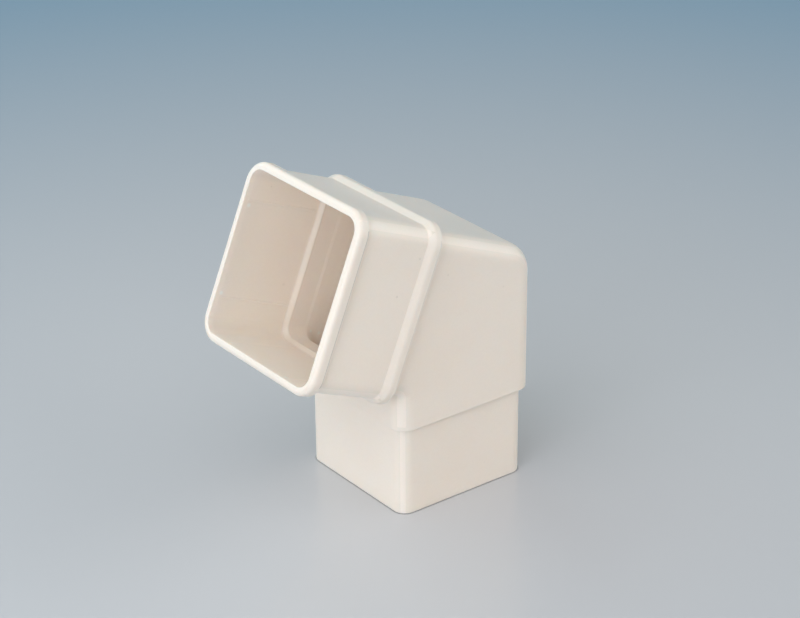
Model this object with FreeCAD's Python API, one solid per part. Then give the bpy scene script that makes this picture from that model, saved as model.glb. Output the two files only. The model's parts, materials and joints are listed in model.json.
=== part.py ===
import FreeCAD, Part
import math
import os

# A square rainwater elbow, moulded in one piece, in millimetres.
# The origin is the centre of the spigot's end, which the elbow stands on.
# +Z runs up the spigot, and the socket leaves towards -X and upwards.

# The square downpipe that it joins
pipe_side = 65.0
pipe_wall = 1.8
pipe_corner = 5.2

# The bend
axes_angle = 112.5
body_rise = 37.0
body_margin = 0.2
body_corner = 6.6
wall = 1.8
heel_radius = 13.6
throat_radius = 1.2
step_radius = 0.4

# The spigot, which enters the pipe below
spigot_length = 37.8
spigot_clearance = 0.3
spigot_corner = 5.3
spigot_lip_radius = 0.4

# The socket, which takes the pipe above
stop_reach = 32.9
socket_depth = 36.5
socket_wall = 1.4
socket_clearance = 0.2
socket_draft = 0.1
lead_in_flare = 0.2
lead_in_depth = 2.5
stop_slope = 1.7
stop_foot_radius = 1.2
stop_top_radius = 0.8

# The rim round the mouth, and the collar over the pipe stop
rim_width = 4.5
rim_height = 1.9
rim_corner = 9.4
rim_front_radius = 2.0
mouth_radius = 0.4
collar_rear = 28.8
collar_flat = 3.0
collar_slope = 2.5
collar_height = 2.1
collar_side_height = 1.7
collar_corner = 9.2
collar_radius = 2.0

# The fine ribs that centre the pipe, two on each wall of the socket
rib_offset = 19.6
rib_radius = 0.9
rib_height = 0.15
rib_start = 1.1

# The mark where the two cores of the mould meet, inside the bend
core_step = 0.15
core_slope = 1.5
core_margin = 1.0

V = FreeCAD.Vector
UP = V(0, 0, 1)
ACROSS = V(0, 1, 0)

body_side = pipe_side + 2 * body_margin
spigot_side = pipe_side - 2 * pipe_wall - 2 * spigot_clearance
stop_side = pipe_side + 2 * socket_clearance
entry_side = stop_side + 2 * socket_draft
mouth_side = entry_side + 2 * lead_in_flare
socket_side = mouth_side + 2 * socket_wall
socket_corner = pipe_corner + socket_clearance

# The spigot's axis and the socket's axis cross at this point, and turn this far there
turn = math.radians(180.0 - axes_angle)
crossing = V(0, 0, spigot_length + body_rise)
out = V(-math.sin(turn), 0, math.cos(turn))
lift = V(math.cos(turn), 0, math.sin(turn))


def along_socket(distance):
    """A point on the socket's axis, measured from the crossing."""
    return crossing + out * distance


def square_wire(side, corner, centre, axis, tall=0.0):
    """A rounded square in the plane through centre across the axis, taller by tall if asked."""
    halves = (side / 2, (side + tall) / 2)
    edges = []
    for quarter in range(4):
        spin = FreeCAD.Rotation(axis, 90 * quarter)
        forward = spin.multVec(ACROSS)
        onward = axis.cross(forward)
        reach = halves[quarter % 2]
        flat = halves[1 - quarter % 2] - corner
        knee = centre + forward * (reach - corner) + onward * flat
        face_end = centre + forward * reach + onward * flat
        middle = knee + (forward + onward) * (corner * math.sqrt(0.5))
        next_face = knee + onward * corner
        face_start = centre + forward * reach - onward * flat
        edges.append(Part.LineSegment(face_start, face_end).toShape())
        edges.append(Part.Arc(face_end, middle, next_face).toShape())
    return Part.Wire(edges)


def square_block(side, corner, start, axis, length):
    """A straight block of the rounded square."""
    face = Part.Face(square_wire(side, corner, start, axis))
    return face.extrude(axis * length)


def taper_block(sections, axis):
    """A block through several rounded squares, each given as side, corner, reach and extra height."""
    wires = []
    for side, corner, reach, tall in sections:
        wires.append(square_wire(side, corner, along_socket(reach), axis, tall))
    return Part.makeLoft(wires, True, True)


def end_edges(solid, point, axis):
    """The edges that lie in the plane through point across the axis."""
    found = []
    for edge in solid.Edges:
        ends = [vertex.Point for vertex in edge.Vertexes] + [edge.CenterOfMass]
        if all(abs((place - point).dot(axis)) < 1e-4 for place in ends):
            found.append(edge)
    return found


def rounded_outline(points, radii):
    """A closed outline in the XZ plane, with each corner rounded by its radius."""
    edges = []
    last = None
    first = None
    for index, corner in enumerate(points):
        before = (points[index - 1] - corner).normalize()
        after = (points[(index + 1) % len(points)] - corner).normalize()
        half = before.getAngle(after) / 2
        radius = radii[index]
        reach = radius / math.tan(half)
        start = corner + before * reach
        stop = corner + after * reach
        inward = (before + after).normalize()
        middle = corner + inward * (radius / math.sin(half) - radius)
        if last is not None:
            edges.append(Part.LineSegment(last, start).toShape())
        if radius > 0:
            edges.append(Part.Arc(start, middle, stop).toShape())
        first = first or start
        last = stop
    edges.append(Part.LineSegment(last, first).toShape())
    return Part.Wire(edges)


def mitred_block(side, corner, heel, throat, low, reach):
    """The bend as one block, from the height low up and round to reach on the socket's axis."""
    half = side / 2
    mitre = half * math.tan(turn / 2)
    end = along_socket(reach)
    points = [
        V(-half, 0, low),
        V(half, 0, low),
        crossing + V(half, 0, mitre),
        end + lift * half,
        end - lift * half,
        crossing - V(half, 0, mitre),
    ]
    outline = rounded_outline(points, [0, 0, heel, 0, 0, throat])
    outline.translate(V(0, -half, 0))
    block = Part.Face(outline).extrude(V(0, side, 0))
    ends = end_edges(block, V(0, 0, low), UP) + end_edges(block, end, out)
    long_edges = []
    for face_y in (-half, half):
        for edge in end_edges(block, V(0, face_y, 0), ACROSS):
            if not any(edge.isSame(other) for other in ends):
                long_edges.append(edge)
    return block.makeFillet(corner, long_edges)


def body_outside():
    low = spigot_length
    reach = collar_rear + collar_flat
    block = mitred_block(body_side, body_corner, heel_radius, throat_radius, low, reach)
    return block.makeFillet(step_radius, end_edges(block, V(0, 0, low), UP))


def spigot_outside():
    block = square_block(spigot_side, spigot_corner, V(0, 0, 0), UP, spigot_length + wall)
    return block.makeFillet(spigot_lip_radius, end_edges(block, V(0, 0, 0), UP))


def socket_outside():
    corner = socket_corner + socket_wall
    start = collar_rear + collar_flat
    length = stop_reach + socket_depth - start
    return square_block(socket_side, corner, along_socket(start), out, length)


def collar():
    """The wedge round the pipe stop: a slope towards the mouth, a flat, and a square rear edge."""
    brow = collar_rear + collar_flat
    side = socket_side + 2 * collar_side_height
    tall = 2 * (collar_height - collar_side_height)
    block = taper_block(
        [
            (side, collar_corner, collar_rear, tall),
            (side, collar_corner, brow, tall),
            (socket_side, socket_corner + socket_wall, brow + collar_slope, 0.0),
        ],
        out,
    )
    return block.makeFillet(collar_radius, end_edges(block, along_socket(brow), out))


def rim():
    """The band at the mouth, rounded in front and square behind."""
    start = along_socket(stop_reach + socket_depth - rim_width)
    block = square_block(socket_side + 2 * rim_height, rim_corner, start, out, rim_width)
    return block.makeFillet(rim_front_radius, end_edges(block, start + out * rim_width, out))


def guide_ribs():
    """Round bars that stand out of the socket's walls by the height of a rib."""
    start = along_socket(stop_reach + rib_start)
    length = socket_depth - lead_in_depth - rib_start
    slope = (entry_side - stop_side) / 2 / (socket_depth - lead_in_depth)
    bars = []
    for quarter in range(4):
        spin = FreeCAD.Rotation(out, 90 * quarter)
        face = spin.multVec(ACROSS)
        sideways = out.cross(face)
        sunk = stop_side / 2 + rib_radius - rib_height
        for offset in (-rib_offset, rib_offset):
            way = out + face * slope
            foot = start + face * (sunk + rib_start * slope) + sideways * offset
            head = foot + way * length
            bar = Part.makeCylinder(rib_radius, (head - foot).Length, foot, way)
            bars.append(bar.fuse(Part.makeSphere(rib_radius, head)))
    return bars


def bore():
    """The way through: spigot, bend and socket, less the ribs that stand in it."""
    bend_side = body_side - 2 * wall
    bend_corner = body_corner - wall
    floor = spigot_length + wall
    spigot_bore = square_block(
        spigot_side - 2 * wall, spigot_corner - wall, V(0, 0, 0), UP, floor + wall
    )
    brow = stop_reach - stop_slope
    bend_bore = mitred_block(
        bend_side, bend_corner, heel_radius - wall, throat_radius + wall, floor, brow
    )
    core_reach = bend_side / 2 * math.tan(turn / 2) + core_margin
    core_side = bend_side + 2 * core_step
    core_corner = bend_corner + core_step
    mouth = stop_reach + socket_depth
    socket_bore = taper_block(
        [
            (bend_side, bend_corner, core_reach, 0.0),
            (core_side, core_corner, core_reach + core_slope, 0.0),
            (core_side, core_corner, brow, 0.0),
            (stop_side, socket_corner, stop_reach, 0.0),
            (entry_side, socket_corner, mouth - lead_in_depth, 0.0),
            (mouth_side, socket_corner + lead_in_flare, mouth, 0.0),
        ],
        out,
    )
    socket_bore = socket_bore.cut(guide_ribs())
    return spigot_bore.fuse([bend_bore, socket_bore])


def inner_loop(solid, centre, axis, limit):
    """The edges in the plane through centre across the axis, as far out as limit."""
    second = axis.cross(ACROSS)
    kept = []
    for edge in end_edges(solid, centre, axis):
        away = [vertex.Point - centre for vertex in edge.Vertexes]
        if all(max(abs(gap.y), abs(gap.dot(second))) < limit for gap in away):
            kept.append(edge)
    return kept


def elbow_body():
    outside = body_outside().fuse([spigot_outside(), socket_outside(), collar(), rim()])
    shell = outside.cut(bore()).removeSplitter()
    brow = along_socket(stop_reach - stop_slope)
    shell = shell.makeFillet(stop_top_radius, inner_loop(shell, brow, out, stop_side / 2))
    foot = along_socket(stop_reach)
    shell = shell.makeFillet(stop_foot_radius, inner_loop(shell, foot, out, socket_side / 2))
    mouth = along_socket(stop_reach + socket_depth)
    mouth_edges = inner_loop(shell, mouth, out, mouth_side / 2 + mouth_radius)
    return shell.makeFillet(mouth_radius, mouth_edges).Solids[0]


os.makedirs("parts", exist_ok=True)
body = elbow_body()
body.exportStep("parts/elbow_body.step")
print("elbow_body: valid", body.isValid(), "volume", round(body.Volume), "mm3")
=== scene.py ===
# %% [markdown]
# # A moulded rainwater elbow, and how it gets its look
#
# The elbow is one piece of cream-white plastic. Its shape is already true: it comes from the
# CAD model, in metres, and stays as it is. What is missing is everything that the eye uses to
# tell moulded plastic from plain grey: the warm white, the soft gloss, the faint marks that
# the mould left, and a studio that shows them.
#
# We load the part first, because every later step measures something on it.

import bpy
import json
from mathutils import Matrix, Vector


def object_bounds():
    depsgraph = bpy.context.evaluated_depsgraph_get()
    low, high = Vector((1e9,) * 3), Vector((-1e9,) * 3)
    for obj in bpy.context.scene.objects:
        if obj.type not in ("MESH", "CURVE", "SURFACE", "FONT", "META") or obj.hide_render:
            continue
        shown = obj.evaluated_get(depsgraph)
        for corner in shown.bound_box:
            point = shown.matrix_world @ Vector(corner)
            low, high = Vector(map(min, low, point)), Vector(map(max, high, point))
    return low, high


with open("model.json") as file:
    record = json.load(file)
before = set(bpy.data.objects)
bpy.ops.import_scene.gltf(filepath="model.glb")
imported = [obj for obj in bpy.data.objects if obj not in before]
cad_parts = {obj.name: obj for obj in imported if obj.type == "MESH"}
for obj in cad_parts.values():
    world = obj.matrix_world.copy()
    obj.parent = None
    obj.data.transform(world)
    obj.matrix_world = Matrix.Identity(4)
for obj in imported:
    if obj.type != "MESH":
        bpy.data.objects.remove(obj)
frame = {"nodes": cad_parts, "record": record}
cad_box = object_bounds()
elbow = frame["nodes"]["elbow_body"]
print("loaded", elbow.name, "with", len(elbow.data.polygons), "faces")

# %% [markdown]
# ## Where things are on the elbow
#
# A finish on moulded plastic isn't the same everywhere. The outside was pressed against the
# polished cavity of the mould, and the inside against two cores that were then pulled out,
# one along the spigot and one along the socket. To tell these places apart, the material
# needs the axes of the two ends. The record that travels with the part gives them, so no
# size is typed twice.

# %% Read the two ends from the record
from math import radians

import bpy
from mathutils import Matrix, Vector

MM = 0.001

mounts = {mount["name"]: mount for mount in frame["record"]["mounts"]}
socket_mouth = Vector(mounts["pipe_socket"]["pos_m"])
socket_axis = Vector(mounts["pipe_socket"]["axis"]).normalized()
socket_depth = mounts["pipe_socket"]["dims"]["length_mm"]
spigot_length = mounts["spigot"]["dims"]["length_mm"]
print("socket mouth at", tuple(round(x / MM, 1) for x in socket_mouth), "mm, depth", socket_depth)

# %% [markdown]
# ## The camera
#
# The camera comes early, because some marks are placed through it. A product photographer
# stands well back and uses a long lens, which keeps the square edges nearly parallel. Depth
# of field stays off, so the whole elbow is sharp.
#
# The place is given in millimetres from the foot of the elbow, and the aim as three plain
# turns: round the object, up from the floor, and a touch of roll.

# %% Set up the camera
CAMERA_PLACE = Vector((-514.1, -666.9, 477.2))
CAMERA_AZIMUTH = 37.21
CAMERA_ELEVATION = 25.87
CAMERA_ROLL = -0.44
CAMERA_LENS = 107.7
SENSOR_WIDTH = 36.0
NEAREST_SEEN, FURTHEST_SEEN = 0.05, 50.0

camera_data = bpy.data.cameras.new("camera")
camera_data.lens = CAMERA_LENS
camera_data.sensor_width = SENSOR_WIDTH
camera_data.clip_start = NEAREST_SEEN
camera_data.clip_end = FURTHEST_SEEN
camera = bpy.data.objects.new("camera", camera_data)
bpy.context.scene.collection.objects.link(camera)
turn_round = Matrix.Rotation(radians(-CAMERA_AZIMUTH), 4, "Z")
tip_down = Matrix.Rotation(radians(90 - CAMERA_ELEVATION), 4, "X")
roll = Matrix.Rotation(radians(CAMERA_ROLL), 4, "Z")
camera.matrix_world = Matrix.Translation(CAMERA_PLACE * MM) @ turn_round @ tip_down @ roll
bpy.context.scene.camera = camera
print("camera is", round(CAMERA_PLACE.length), "mm from the spigot's end")

# %% [markdown]
# ## Helpers for a node material
#
# A procedural material is a small graph. Two helpers keep it readable: one makes a node and
# fills its inputs, with a number or with the output of another node, and one does arithmetic.

# %% Make a node, and do arithmetic with nodes
def add_node(tree, kind, inputs=None, **settings):
    """One node. Inputs are given by name or number, as a value or as another node's output."""
    made = tree.nodes.new(kind)
    for name, value in settings.items():
        setattr(made, name, value)
    for name, value in (inputs or {}).items():
        if isinstance(value, bpy.types.NodeSocket):
            tree.links.new(value, made.inputs[name])
        else:
            made.inputs[name].default_value = value
    return made


def work_out(tree, operation, *values):
    """The output of one Math node."""
    numbered = dict(enumerate(values))
    return add_node(tree, "ShaderNodeMath", numbered, operation=operation).outputs[0]


def step_between(tree, value, low, high, start=0.0, end=1.0):
    """A smooth step: start where value is low, end where it is high."""
    inputs = {"Value": value, "From Min": low, "From Max": high, "To Min": start, "To Max": end}
    node = add_node(tree, "ShaderNodeMapRange", inputs, interpolation_type="SMOOTHSTEP")
    return node.outputs["Result"]


plastic = bpy.data.materials.new("cream_plastic")
plastic.use_nodes = True
plastic.node_tree.nodes.clear()
tree = plastic.node_tree
print("made an empty material called", plastic.name)

# %% [markdown]
# ## Millimetres, and the socket's own directions
#
# Object coordinates are fixed to the part, so a pattern made from them stays put when the
# camera moves. We turn them into millimetres, which makes every later scale a real size, and
# then into the socket's frame: how far in from the mouth, how far across, how far up.

# %% Coordinates for the material
place = add_node(tree, "ShaderNodeTexCoord").outputs["Object"]
place_mm = add_node(
    tree, "ShaderNodeVectorMath", {0: place, 1: (1 / MM,) * 3}, operation="MULTIPLY"
).outputs[0]


def distance_along(direction, origin):
    """How far a point lies from origin in a direction, in millimetres."""
    away = add_node(
        tree, "ShaderNodeVectorMath", {0: place_mm, 1: tuple(origin)}, operation="SUBTRACT"
    ).outputs[0]
    inputs = {0: away, 1: tuple(direction)}
    return add_node(tree, "ShaderNodeVectorMath", inputs, operation="DOT_PRODUCT").outputs["Value"]


mouth_mm = socket_mouth / MM
across = Vector((0, 1, 0))
socket_up = across.cross(socket_axis)
if socket_up.z < 0:
    socket_up.negate()
into_socket = distance_along(-socket_axis, mouth_mm)
socket_z = distance_along(socket_up, mouth_mm)
spigot_x = distance_along((1, 0, 0), (0, 0, 0))
height = distance_along((0, 0, 1), (0, 0, 0))
side_y = distance_along(across, (0, 0, 0))

axes_cross = mouth_mm - socket_axis * (mouth_mm.x / socket_axis.x)
mitre_normal = (socket_axis + Vector((0, 0, 1))).normalized()
on_socket_side = work_out(
    tree, "GREATER_THAN", distance_along(mitre_normal, axes_cross), 0.0
)
print("the axes cross", round(axes_cross.z, 1), "mm above the floor")

# %% [markdown]
# ## One pipe, bent
#
# Seen from inside, the elbow is one square pipe with a mitre across its bend. Each half has
# its own axis, so we make one set of pipe coordinates out of two: along the pipe, and off
# its axis in the plane of the bend. A switch at the mitre picks the half. The third
# coordinate, across the bend, is the same for both.

# %% Pipe coordinates
def pick_half(spigot_half, socket_half):
    """The spigot's value below the mitre, and the socket's beyond it."""
    inputs = {0: on_socket_side, 2: spigot_half, 3: socket_half}
    return add_node(tree, "ShaderNodeMix", inputs).outputs[0]


along_pipe = pick_half(height, into_socket)
off_axis = pick_half(spigot_x, socket_z)
print("pipe coordinates use", len(tree.nodes), "nodes so far")

# %% [markdown]
# ## Inside or outside
#
# A point is on the inside if it is nearer to the axis than the middle of the wall, both
# across the bend and in its plane. The wall stands further out in the socket than in the
# bend, and further in at the spigot, so the limit changes at the pipe stop and at the step.

# %% A mask for the inside
BEND_WALL_MIDDLE = 31.8
SOCKET_WALL_MIDDLE = 33.6
SPIGOT_WALL_MIDDLE = 29.5
STEP_MARGIN = 1.8
STOP_MARGIN = 2.5
MOUTH_EDGE = 0.6

before_stop = work_out(tree, "LESS_THAN", into_socket, socket_depth + STOP_MARGIN)
below_step = work_out(tree, "LESS_THAN", height, spigot_length + STEP_MARGIN)
limit = work_out(
    tree, "MULTIPLY_ADD", before_stop, SOCKET_WALL_MIDDLE - BEND_WALL_MIDDLE, BEND_WALL_MIDDLE
)
limit = work_out(
    tree, "MULTIPLY_ADD", below_step, SPIGOT_WALL_MIDDLE - BEND_WALL_MIDDLE, limit
)
far_out = work_out(
    tree, "MAXIMUM", work_out(tree, "ABSOLUTE", side_y), work_out(tree, "ABSOLUTE", off_axis)
)
inside = work_out(
    tree,
    "MULTIPLY",
    work_out(tree, "LESS_THAN", far_out, limit),
    work_out(tree, "GREATER_THAN", into_socket, MOUTH_EDGE),
)
print("walls at", SPIGOT_WALL_MIDDLE, BEND_WALL_MIDDLE, SOCKET_WALL_MIDDLE, "mm from the axis")

# %% [markdown]
# ## The colour
#
# The plastic is coloured right through, a cream just off white. Seen close it is never quite
# even. The pigment drifts in clouds a few centimetres wide, and the surface has a fine grain.
# Each of these is a noise at its own real scale, and each is faint: together they move the
# colour by a few percent.

# %% Clouds and grain
CLOUD_SIZE = 38.0
GRAIN_SIZE = 0.8


def noise(size, detail, seed):
    """Soft noise whose features are about size millimetres across."""
    scaled = add_node(
        tree, "ShaderNodeVectorMath", {0: place_mm, 1: (1 / size,) * 3}, operation="MULTIPLY"
    ).outputs[0]
    inputs = {"Vector": scaled, "W": seed, "Scale": 1.0, "Detail": detail}
    return add_node(tree, "ShaderNodeTexNoise", inputs, noise_dimensions="4D").outputs["Fac"]


clouds = noise(CLOUD_SIZE, detail=2.0, seed=3.1)
grain = noise(GRAIN_SIZE, detail=1.0, seed=7.7)
print("clouds", CLOUD_SIZE, "mm and grain", GRAIN_SIZE, "mm")

# %% [markdown]
# ## Flecks
#
# Here and there a fleck of darker material has been carried along. A cell pattern suits this:
# it scatters one point in each cell, and only the cells whose random colour is low enough
# keep theirs, so the flecks lie unevenly, as real ones do.

# %% Small flecks, scattered
FLECK_SPACING = 9.0
FLECK_RADIUS = 0.22
FLECK_EDGE = 2.2
FLECK_SHARE = 0.22

fleck_cells = add_node(
    tree, "ShaderNodeTexVoronoi", {"Vector": place_mm, "Scale": 1 / FLECK_SPACING}
)
fleck_far = work_out(tree, "MULTIPLY", fleck_cells.outputs["Distance"], FLECK_SPACING)
fleck_near = step_between(tree, fleck_far, FLECK_RADIUS, FLECK_RADIUS * FLECK_EDGE, 1.0, 0.0)
fleck_pick = add_node(
    tree, "ShaderNodeSeparateColor", {"Color": fleck_cells.outputs["Color"]}
).outputs["Red"]
fleck_kept = work_out(tree, "LESS_THAN", fleck_pick, FLECK_SHARE)
flecks = work_out(tree, "MULTIPLY", fleck_near, fleck_kept)
print("one fleck in", round(1 / FLECK_SHARE), "cells of", FLECK_SPACING, "mm")

# %% [markdown]
# ## Marks that can be seen from where we stand
#
# A few marks are too particular for a noise: each belongs in one place. A simple way to put
# them there is to look through the camera. A ray leaves the lens through the mark's place in
# the picture, given in pixels, and stops where it meets the elbow. That gives the mark's
# point on the part in millimetres, and the mark stays there when the camera moves.

# %% Look through the camera at the elbow
PICTURE_WIDTH, PICTURE_HEIGHT = 800, 618


def point_under(pixel_x, pixel_y):
    """Where the ray through a place in the picture meets the elbow, in millimetres."""
    spread = SENSOR_WIDTH / CAMERA_LENS / PICTURE_WIDTH
    sideways = (pixel_x + 0.5 - PICTURE_WIDTH / 2) * spread
    upward = (PICTURE_HEIGHT / 2 - pixel_y - 0.5) * spread
    aim = camera.matrix_world.to_3x3() @ Vector((sideways, upward, -1))
    found, point, _, _ = elbow.ray_cast(camera.matrix_world.translation, aim.normalized())
    return point / MM if found else None


picture_middle = point_under(PICTURE_WIDTH / 2, PICTURE_HEIGHT / 2)
print("the middle of the picture shows", tuple(round(x, 1) for x in picture_middle), "mm")

# %% [markdown]
# ## Soft dots
#
# Round such a point, the colour changes a little. A soft edge is right for a mark this small,
# so each dot is full near its middle and gone at its radius. Where two dots meet, the stronger
# one holds.

# %% A soft dot for each mark
DOT_CORE = 0.2


def dots_at(places):
    """Dots from pixel across, pixel down, radius in millimetres and strength."""
    dots = None
    for pixel_x, pixel_y, radius, strength in places:
        centre = point_under(pixel_x, pixel_y)
        inputs = {0: place_mm, 1: tuple(centre)}
        far = add_node(tree, "ShaderNodeVectorMath", inputs, operation="DISTANCE").outputs["Value"]
        dot = step_between(tree, far, radius * DOT_CORE, radius, strength, 0.0)
        dots = dot if dots is None else work_out(tree, "MAXIMUM", dots, dot)
        print("dot at", tuple(round(x, 1) for x in centre), "mm")
    return dots


print("a dot is full out to", DOT_CORE, "of its radius")

# %% [markdown]
# ## Five specks, and one inside
#
# Five small dark specks sit on the near side of this elbow, and one inside the socket: grains
# of burnt plastic from the moulding machine, each about a millimetre wide. Their strength is
# how far the colour goes towards a dark brown.

# %% The dark specks
SPECKS = [
    (396.5, 296.5, 0.62, 0.24),
    (419.5, 258.5, 0.75, 0.17),
    (447.5, 274.5, 0.70, 0.11),
    (503.0, 286.0, 0.65, 0.10),
    (486.0, 297.0, 0.60, 0.05),
    (283.0, 284.0, 0.95, 0.10),
]

specks = dots_at(SPECKS)
print("placed", len(SPECKS), "specks")

# %% [markdown]
# ## Painted glints
#
# A few tiny painted highlights show too: where a rib of the socket ends near the mouth, and at
# the inner corner of the bend. They are glints of light, painted into the colour as small
# warm-white dots.

# %% The painted glints
# Painted highlights: warm-white glints at the rib ends and at the bend's inner corner.
PAINTED_GLINTS = [
    (248.3, 204.8, 1.30, 0.90),
    (220.8, 292.3, 1.20, 0.90),
    (285.0, 376.7, 1.10, 0.90),
    (230.8, 342.0, 1.00, 0.60),
    (310.2, 330.5, 0.95, 0.85),
    (318.3, 332.5, 1.05, 0.80),
]

painted_glints = dots_at(PAINTED_GLINTS)
print("placed", len(PAINTED_GLINTS), "bright spots")

# %% [markdown]
# ## Painted shade lines at the rear of the two bands
#
# The rim and the collar end in a square edge. On the two flat sides, a fine line of painted shade
# follows that edge, darker than the plastic round it: it stands in for the shadow in the crease
# behind the step. It is about half a millimetre wide, too thin to be worth a shape, so the
# colour carries it.

# %% Painted shade lines at the rear edges of the rim and the collar
RIM_REAR = 4.5
COLLAR_REAR = 40.6
RIM_SIDE = 35.6
COLLAR_SIDE = 35.3
CREASE_SHADE_WIDTH = 0.60
CREASE_SHADE_CORE = 0.4
RIM_SHADE_STRENGTH = 0.28
COLLAR_SHADE_STRENGTH = 0.14


def painted_crease_shade(rear, side, strength):
    """A fine line of painted shade on the last bit of a band before its rear edge, on the two flat
    sides.
    """
    before = work_out(tree, "SUBTRACT", rear, into_socket)
    core = CREASE_SHADE_WIDTH * CREASE_SHADE_CORE
    near = step_between(tree, before, core, CREASE_SHADE_WIDTH, strength, 0.0)
    on_band = work_out(tree, "LESS_THAN", into_socket, rear + CREASE_SHADE_WIDTH)
    on_side = work_out(tree, "GREATER_THAN", work_out(tree, "ABSOLUTE", side_y), side)
    return work_out(tree, "MULTIPLY", near, work_out(tree, "MULTIPLY", on_band, on_side))


# Painted shade: the crease shadow behind the rim and the collar, as dark lines in the colour.
painted_crease_shades = work_out(
    tree,
    "MAXIMUM",
    painted_crease_shade(RIM_REAR, RIM_SIDE, RIM_SHADE_STRENGTH),
    painted_crease_shade(COLLAR_REAR, COLLAR_SIDE, COLLAR_SHADE_STRENGTH),
)
print("fine lines", RIM_REAR, "and", COLLAR_REAR, "mm from the mouth")

# %% [markdown]
# ## Painted shade on the stop
#
# Inside, the ledge that stops the pipe faces the mouth and catches much of the light, so its
# colour is painted a little darker and yellower than the walls: painted shade that tones that
# light down. It is found by its distance from the mouth alone, because the ledge runs all the
# way round.

# %% Where the stop gets its painted shade
STOP_MIDDLE = 37.5
STOP_HALF_WIDTH = 1.5
STOP_CORE = 0.75

from_stop = work_out(tree, "ABSOLUTE", work_out(tree, "SUBTRACT", into_socket, STOP_MIDDLE))
at_stop = step_between(tree, from_stop, STOP_CORE, STOP_HALF_WIDTH, 1.0, 0.0)
# Painted shade on the stop, on the inside only.
painted_stop_shade = work_out(tree, "MULTIPLY", at_stop, inside)
print("the rubbed stop lies", STOP_MIDDLE, "mm into the socket")

# %% [markdown]
# ## The layers of the colour
#
# The colour is now put together in layers, as a painter would glaze: the cream, a slightly
# warmer cream where the clouds are thick, the grain, the fine lines of painted shade, the
# painted light of the inside and the painted shade of the stop, and last the specks, flecks
# and painted glints.

# %% Cream, clouds and grain
CREAM = (0.905, 0.818, 0.722, 1.0)
WARMER_CREAM = (0.890, 0.798, 0.697, 1.0)
CLOUD_THIN, CLOUD_THICK = 0.35, 0.70
GRAIN_LOW, GRAIN_HIGH = 0.25, 0.75
GRAIN_STRENGTH = 0.008


def mix_colour(amount, first, second):
    """Two colours mixed by amount."""
    inputs = {"Factor": amount, "A": first, "B": second}
    made = tree.nodes.new("ShaderNodeMix")
    made.data_type = "RGBA"
    for name, value in inputs.items():
        sockets = [s for s in made.inputs if s.name == name and s.enabled]
        if isinstance(value, bpy.types.NodeSocket):
            tree.links.new(value, sockets[0])
        else:
            sockets[0].default_value = value
    return [s for s in made.outputs if s.enabled][0]


cloud_share = step_between(tree, clouds, CLOUD_THIN, CLOUD_THICK)
colour = mix_colour(cloud_share, CREAM, WARMER_CREAM)
grain_level = step_between(
    tree, grain, GRAIN_LOW, GRAIN_HIGH, 1 - GRAIN_STRENGTH, 1 + GRAIN_STRENGTH
)
# The grain's level, less the painted crease shade behind the rim and the collar.
level = work_out(tree, "SUBTRACT", grain_level, painted_crease_shades)
print("the cream is", CREAM[:3], "and", WARMER_CREAM[:3], "where the clouds are thick")

# %% [markdown]
# A tint is a colour to multiply by, so white leaves the cream as it is. The inside gets painted
# light: its tint is a touch lighter and pinker, which brightens the shaded socket as if more
# light came in and bounced round its walls. The stop has a darker tint of painted shade, in
# place of that one.

# %% Paint light into the inside and shade onto the stop
# Painted light for the inside of the socket; painted shade for the stop.
PAINTED_INSIDE_LIGHT = (1.095, 1.060, 1.075, 1.0)
STOP_SHADE_TINT = (0.900, 0.895, 0.865, 1.0)
NO_TINT = (1.0, 1.0, 1.0, 1.0)

# Painted light: the inside's lighter, pinker tint.
tint = mix_colour(inside, NO_TINT, PAINTED_INSIDE_LIGHT)
# Painted shade: the stop's darker tint takes the place of the inside's.
tint = mix_colour(painted_stop_shade, tint, STOP_SHADE_TINT)
colour = add_node(
    tree, "ShaderNodeVectorMath", {0: colour, 1: tint}, operation="MULTIPLY"
).outputs[0]
colour = add_node(
    tree, "ShaderNodeVectorMath", {0: colour, "Scale": level}, operation="SCALE"
).outputs[0]
print("the inside is", PAINTED_INSIDE_LIGHT[0], "times as red as the outside")

# %% [markdown]
# The marks come last, over everything else. A mix with a dark brown makes the specks and the
# flecks, and a mix with a warm white paints the glints, small painted highlights.

# %% Lay the marks over the cream
FLECK_COLOUR = (0.30, 0.26, 0.21, 1.0)
FLECK_STRENGTH = 0.12
PAINTED_GLINT_COLOUR = (1.0, 0.965, 0.90, 1.0)

dark_share = work_out(
    tree, "MAXIMUM", work_out(tree, "MULTIPLY", flecks, FLECK_STRENGTH), specks
)
colour = mix_colour(dark_share, colour, FLECK_COLOUR)
# Painted highlights: the glints, mixed towards a warm white.
colour = mix_colour(painted_glints, colour, PAINTED_GLINT_COLOUR)
print("the colour takes", len(tree.nodes), "nodes so far")

# %% [markdown]
# ## The gloss
#
# The outside has the mould's polish, so it is smooth but not a mirror. The inside is a little
# duller, and has fine lines along the way that its core was drawn out. A long thin noise
# gives such lines: its features are about a millimetre across and several centimetres long.

# %% Roughness and draw lines
OUTSIDE_ROUGHNESS = 0.35
INSIDE_ROUGHNESS = 0.37
ROUGHNESS_DRIFT = 0.04
DRAW_LINE_WIDTH = 1.3
DRAW_LINE_LENGTH = 70.0
DRIFT_SIZE = 14.0
NOISE_LOW, NOISE_HIGH = 0.3, 0.7

pipe_place = add_node(
    tree,
    "ShaderNodeCombineXYZ",
    {
        0: work_out(tree, "DIVIDE", along_pipe, DRAW_LINE_LENGTH),
        1: work_out(tree, "DIVIDE", side_y, DRAW_LINE_WIDTH),
        2: work_out(tree, "DIVIDE", off_axis, DRAW_LINE_WIDTH),
    },
).outputs[0]
draw_lines = add_node(
    tree, "ShaderNodeTexNoise", {"Vector": pipe_place, "Scale": 1.0, "Detail": 3.0}
).outputs["Fac"]
drift = noise(DRIFT_SIZE, detail=3.0, seed=1.9)


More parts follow.
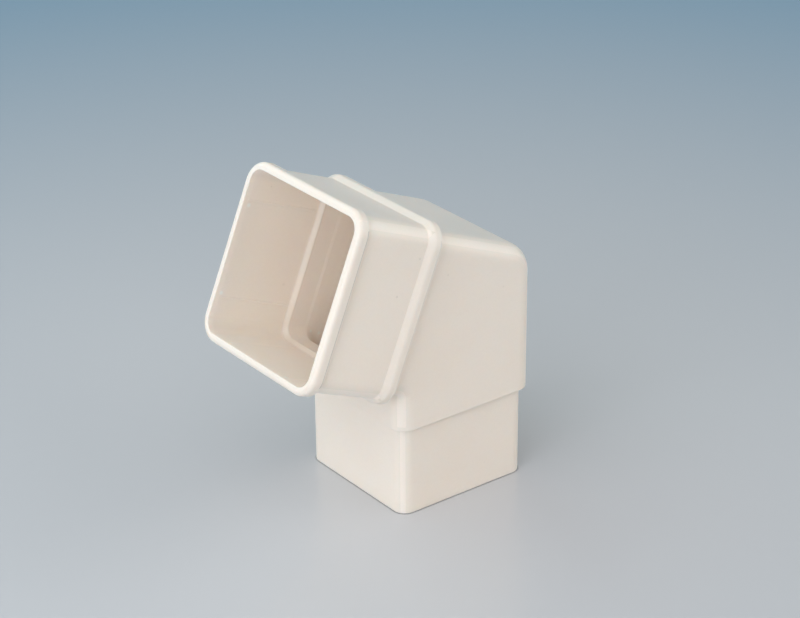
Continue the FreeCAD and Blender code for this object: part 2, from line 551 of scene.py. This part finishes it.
def roughness_round(middle, pattern):
    """A roughness that drifts round a middle value, as a pattern says."""
    low = middle - ROUGHNESS_DRIFT
    high = middle + ROUGHNESS_DRIFT
    return step_between(tree, pattern, NOISE_LOW, NOISE_HIGH, low, high)


outside_rough = roughness_round(OUTSIDE_ROUGHNESS, drift)
inside_rough = roughness_round(INSIDE_ROUGHNESS, draw_lines)
roughness = add_node(
    tree, "ShaderNodeMix", {0: inside, 2: outside_rough, 3: inside_rough}
).outputs[0]
print("roughness", OUTSIDE_ROUGHNESS, "outside and", INSIDE_ROUGHNESS, "inside")

# %% [markdown]
# ## The relief
#
# No moulded wall is flat. It shrinks unevenly as it cools, which bends its reflections in
# slow waves a centimetre or two long and a few hundredths of a millimetre high. The core
# leaves its draw lines on the inside, and the skin has a texture half a millimetre wide and a
# thousandth high. All three go into bump nodes, one after the other, with their true heights
# in metres. A bump moves no edge, which is right for relief as low as this.

# %% Slow waves, fine skin and draw lines as bump
WAVE_SIZE = 16.0
WAVE_HEIGHT = 0.030
SKIN_SIZE = 0.45
SKIN_HEIGHT = 0.0012
DRAW_LINE_HEIGHT = 0.004

waves = noise(WAVE_SIZE, detail=1.0, seed=5.3)
skin = noise(SKIN_SIZE, detail=2.0, seed=9.2)
line_height = work_out(tree, "MULTIPLY", draw_lines, inside)
normal = None
for pattern, relief in (
    (waves, WAVE_HEIGHT),
    (line_height, DRAW_LINE_HEIGHT),
    (skin, SKIN_HEIGHT),
):
    inputs = {"Strength": 1.0, "Distance": relief * MM, "Height": pattern}
    if normal is not None:
        inputs["Normal"] = normal
    normal = add_node(tree, "ShaderNodeBump", inputs).outputs["Normal"]
    print("a layer of relief", relief, "mm high")

# %% [markdown]
# ## The plastic itself
#
# The Principled shader brings these together. The refractive index of rigid vinyl is about
# 1.53, a little above the usual 1.45 or 1.5, and it is what makes the top faces pale and
# cool when they are seen at a glancing angle. Part of the light passes under the skin and
# comes out again a millimetre or two away, the red part the furthest, which keeps the shaded
# inside warm and softens its corners.

# %% Build the shader and give it to the elbow
RIGID_VINYL_INDEX = 1.53
GLOW_DEPTH = 1.5
GLOW_SHARE = 0.7
GLOW_SPREAD = (1.0, 0.85, 0.72)

shader = add_node(
    tree,
    "ShaderNodeBsdfPrincipled",
    {
        "Base Color": colour,
        "Roughness": roughness,
        "IOR": RIGID_VINYL_INDEX,
        "Normal": normal,
        "Subsurface Weight": GLOW_SHARE,
        "Subsurface Radius": GLOW_SPREAD,
        "Subsurface Scale": GLOW_DEPTH * MM,
    },
)
add_node(tree, "ShaderNodeOutputMaterial", {"Surface": shader.outputs[0]})
for slot in elbow.material_slots:
    slot.material = plastic
print("the elbow has", len(elbow.material_slots), "slot, with", len(tree.nodes), "nodes behind it")

# %% [markdown]
# ## Floor and background
#
# A plain pale floor lets the cream stand out. It is a flat disc, so wide that its rim is never
# seen.

# %% Lay the floor
FLOOR_RADIUS = 6.0
FLOOR_SIDES = 96

bpy.ops.mesh.primitive_circle_add(vertices=FLOOR_SIDES, radius=FLOOR_RADIUS, fill_type="NGON")
floor = bpy.context.object
floor.name = "floor"
floor_look = bpy.data.materials.new("pale_floor")
floor_look.use_nodes = True
ground = floor_look.node_tree
ground.nodes.clear()
print("floor radius", FLOOR_RADIUS, "m")

# %% [markdown]
# Right at the foot, where hardly any sky is open to it, the floor's colour is darkened to a fine
# line, a painted contact shadow, which lets the elbow stand instead of float. An ambient
# occlusion node finds that place, by asking how much of the space within a millimetre or so is
# free. A slight sheen on the rest gives a soft mirror image to stand on.

# %% The near floor and its painted contact shadow
FLOOR_NEAR = (0.60, 0.60, 0.61)
FLOOR_ROUGHNESS = 0.22
FLOOR_SHEEN = 0.25
CONTACT_REACH = 1.1
CONTACT_TONE = 0.60
CONTACT_LOW, CONTACT_HIGH = 0.5, 0.95
CONTACT_RAYS = 8

open_sky = add_node(
    ground, "ShaderNodeAmbientOcclusion", {"Distance": CONTACT_REACH * MM}, samples=CONTACT_RAYS
).outputs["AO"]
# Painted contact shadow: the floor's colour is darkened where little space round it is free.
painted_contact_shadow = step_between(ground, open_sky, CONTACT_LOW, CONTACT_HIGH, CONTACT_TONE, 1.0)
floor_colour = add_node(
    ground, "ShaderNodeVectorMath", {0: FLOOR_NEAR, "Scale": painted_contact_shadow}, operation="SCALE"
).outputs[0]
matt = add_node(
    ground,
    "ShaderNodeBsdfPrincipled",
    {
        "Base Color": floor_colour,
        "Roughness": FLOOR_ROUGHNESS,
        "Specular IOR Level": FLOOR_SHEEN,
    },
)
print("the floor at the foot is", CONTACT_TONE, "times as bright as beside it")

# %% [markdown]
# The far part of the floor fades into the colour of the world behind it, by its distance from
# the elbow, so there is no horizon from any side. The far colour is an emission, which the
# lamps can't change, and so it always meets the world's colour exactly.

# %% Fade the far floor into the background
BACKDROP = (0.10, 0.25, 0.38, 1.0)
FADE_START, FADE_END = 0.05, 1.05

spot = add_node(ground, "ShaderNodeTexCoord").outputs["Object"]
away = add_node(ground, "ShaderNodeVectorMath", {0: spot}, operation="LENGTH").outputs["Value"]
plain = add_node(ground, "ShaderNodeEmission", {"Color": BACKDROP, "Strength": 1.0})
faded = step_between(ground, away, FADE_START, FADE_END)
blend = add_node(
    ground, "ShaderNodeMixShader", {0: faded, 1: matt.outputs[0], 2: plain.outputs[0]}
)
add_node(ground, "ShaderNodeOutputMaterial", {"Surface": blend.outputs[0]})
floor.data.materials.append(floor_look)
print("the floor fades from", FADE_START, "to", FADE_END, "m away")

# %% [markdown]
# ## The light
#
# The light is that of a small product studio. Large soft boxes stand at the mouth's side, one
# near, one wide and one higher up, and a small low one reaches under the socket. A big one
# fills in from the camera's side, and weaker ones from overhead and from the far side keep
# those faces readable. Large sources give the slow change of tone that plastic needs, and
# hardly any cast shadow.

# %% A soft box
def soft_box(name, direction, distance, size, power, tint):
    """A square area lamp that looks at the middle of the elbow."""
    lamp = bpy.data.lights.new(name, "AREA")
    lamp.shape = "SQUARE"
    lamp.size = size
    lamp.energy = power
    lamp.color = tint
    holder = bpy.data.objects.new(name, lamp)
    bpy.context.scene.collection.objects.link(holder)
    middle = (cad_box[0] + cad_box[1]) / 2
    toward = Vector(direction).normalized()
    holder.location = middle + toward * distance
    holder.rotation_euler = toward.to_track_quat("Z", "Y").to_euler()
    holder.visible_camera = False
    print(name, "is", distance, "m away and", size, "m wide, at", power, "W")


print("a soft box is a lamp with a direction, a distance, a size, a power and a tint")

# %% [markdown]
# Each row is one box: its name, its direction from the elbow, its distance and width in
# metres, its power in watts and a tint. The tints are slight. The boxes above and behind are
# cooler than the one on the camera's side, which keeps the top faces greyer than the sides.

# %% Hang the soft boxes
SOFT_BOXES = [
    ("key_light", (-0.90, -0.35, 0.35), 1.0, 1.6, 5.8, (0.94, 0.92, 1.0)),
    ("wide_light", (-0.90, -0.35, 0.35), 2.0, 4.5, 21.5, (0.95, 0.97, 1.0)),
    ("low_light", (-0.90, -0.35, 0.22), 1.5, 0.8, 2.8, (0.95, 0.95, 1.0)),
    ("upper_light", (-0.65, -0.30, 0.70), 1.0, 1.6, 5.7, (0.95, 0.99, 1.0)),
    ("heel_side_light", (0.75, -0.65, 0.35), 2.0, 2.6, 29.5, (1.0, 0.965, 0.925)),
    ("overhead_light", (0.10, 0.10, 1.00), 2.0, 2.6, 9.2, (0.84, 0.96, 1.0)),
    ("far_side_light", (-0.30, 0.90, 0.45), 2.0, 2.6, 23.0, (0.85, 0.98, 1.0)),
]

for box in SOFT_BOXES:
    soft_box(*box)
print("hung", len(SOFT_BOXES), "soft boxes")

# %% [markdown]
# ## The world
#
# The world does two things. It lights the scene, very weakly and evenly, so that no corner is
# left black. And it shows the background colour, but only to the camera and in reflections. A
# Light Path node tells the two apart.

# %% Set the world
BASE_LIGHT = 0.03
BASE_TINT = (0.93, 0.97, 1.0, 1.0)

world = bpy.data.worlds.new("studio")
bpy.context.scene.world = world
world.use_nodes = True
sky = world.node_tree
sky.nodes.clear()
paths = add_node(sky, "ShaderNodeLightPath")
seen = work_out(
    sky, "MAXIMUM", paths.outputs["Is Camera Ray"], paths.outputs["Is Glossy Ray"]
)
seen = work_out(sky, "MAXIMUM", seen, paths.outputs["Is Transmission Ray"])
shown = add_node(sky, "ShaderNodeBackground", {"Color": BACKDROP, "Strength": 1.0})
base_light = add_node(
    sky, "ShaderNodeBackground", {"Color": BASE_TINT, "Strength": BASE_LIGHT}
)
both = add_node(
    sky, "ShaderNodeMixShader", {0: seen, 1: base_light.outputs[0], 2: shown.outputs[0]}
)
add_node(sky, "ShaderNodeOutputWorld", {"Surface": both.outputs[0]})
bpy.context.scene.view_settings.view_transform = "Standard"
print("the world lights at", BASE_LIGHT, "and shows", BACKDROP[:3])

# %% [markdown]
# ## The end
#
# Nothing above may change the size of the part.

# %% Finish
import json
